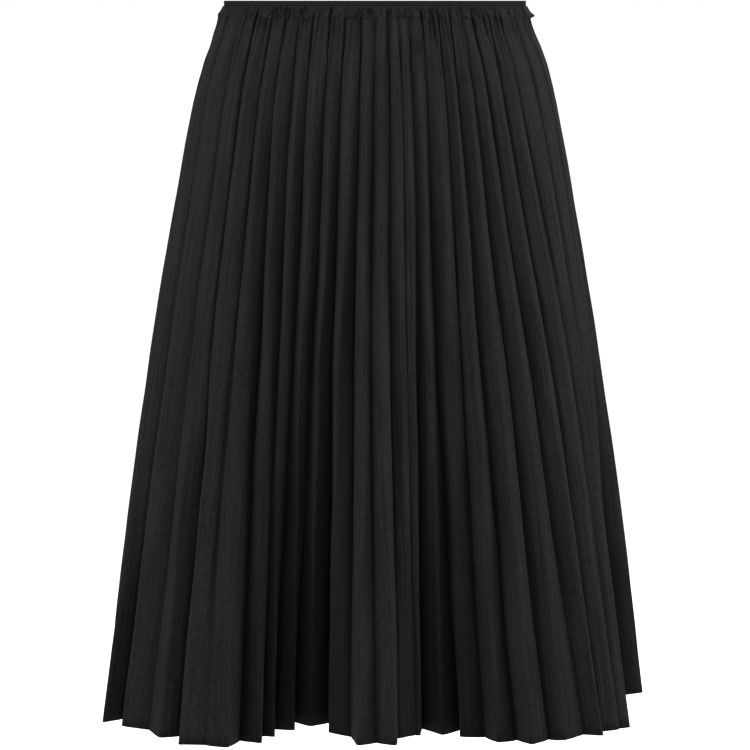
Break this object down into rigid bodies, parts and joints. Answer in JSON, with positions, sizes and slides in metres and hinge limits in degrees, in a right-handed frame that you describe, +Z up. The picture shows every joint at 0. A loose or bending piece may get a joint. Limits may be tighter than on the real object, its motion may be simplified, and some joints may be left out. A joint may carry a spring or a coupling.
{
  "type": "pleated skirt",
  "caption": "Knee-length skirt of fine sunray pleats hanging in soft flutes from a narrow elastic waistband with a small gathered frill.",
  "frame": {"origin": "middle of the waist, level with the top edge of the elastic, where the wearer holds it up", "axes": "+Z up, +X to the side that is on the right of the front view, -Y out of the front"},
  "size_m": [0.4677, 0.3288, 0.6],
  "materials": {
    "pleated_cloth": "matte near-black woven cloth with a faint sheen on the pleats",
    "gathered_cloth": "the same cloth, finely gathered",
    "elastic": "smooth near-black woven elastic with fine ribs along it"
  },
  "bodies": {
    "root": {"waist_elastic": "elastic", "waist_frill": "gathered_cloth", "skirt_front": "pleated_cloth", "skirt_back": "pleated_cloth"}
  },
  "joints": []
}
